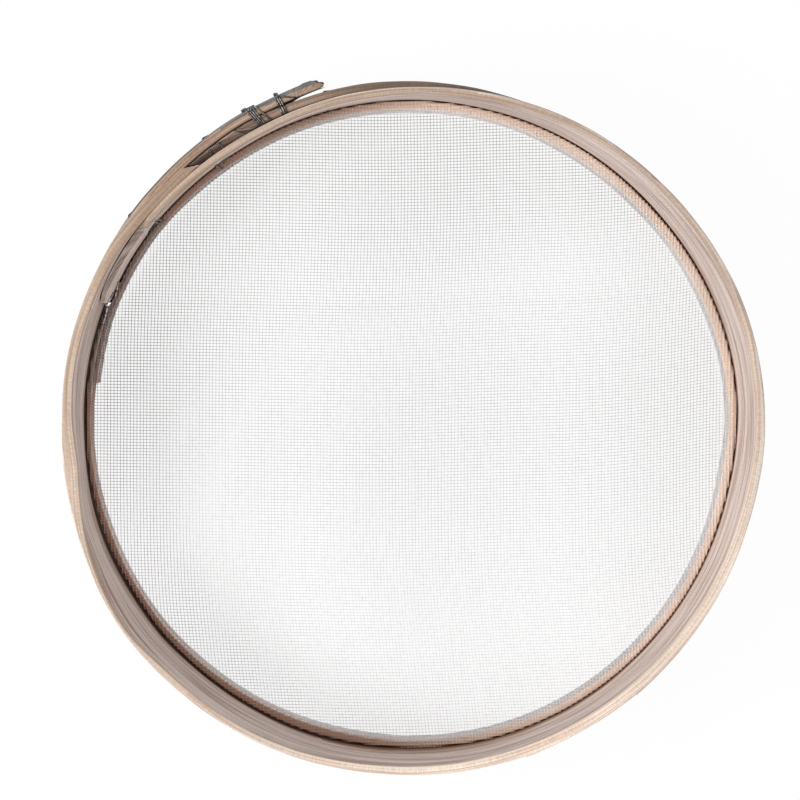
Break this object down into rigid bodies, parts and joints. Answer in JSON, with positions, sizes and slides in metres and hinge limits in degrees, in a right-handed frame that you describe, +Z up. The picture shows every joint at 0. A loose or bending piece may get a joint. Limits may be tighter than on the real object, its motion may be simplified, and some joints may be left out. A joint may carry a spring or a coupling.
{
  "type": "flour sieve",
  "caption": "Round flour sieve: a lapped bent-wood wall hoop, a wire-tied clamp band round its foot, and a ring that stretches woven wire cloth inside it.",
  "frame": {"origin": "on the hoops' axis, in the plane that the sieve stands on", "axes": "+Z up out of the bowl, +Y towards the laps' side, +X to the right of it"},
  "size_m": [0.2866, 0.2861, 0.058],
  "materials": {
    "wall_wood": "bare shaved wood",
    "band_wood": "bare split wood",
    "ring_wood": "bare shaved wood",
    "cloth_wire": "galvanized woven wire",
    "tie_wire": "annealed binding wire"
  },
  "bodies": {
    "root": {"wall_hoop": "wall_wood", "clamp_band": "band_wood", "cloth_ring": "ring_wood", "wire_cloth": "cloth_wire", "cloth_margin": "cloth_wire", "band_tie_1": "tie_wire", "band_tie_2": "tie_wire", "band_stitch_1": "tie_wire", "band_stitch_2": "tie_wire", "band_stitch_3": "tie_wire", "band_stitch_4": "tie_wire"}
  },
  "joints": []
}
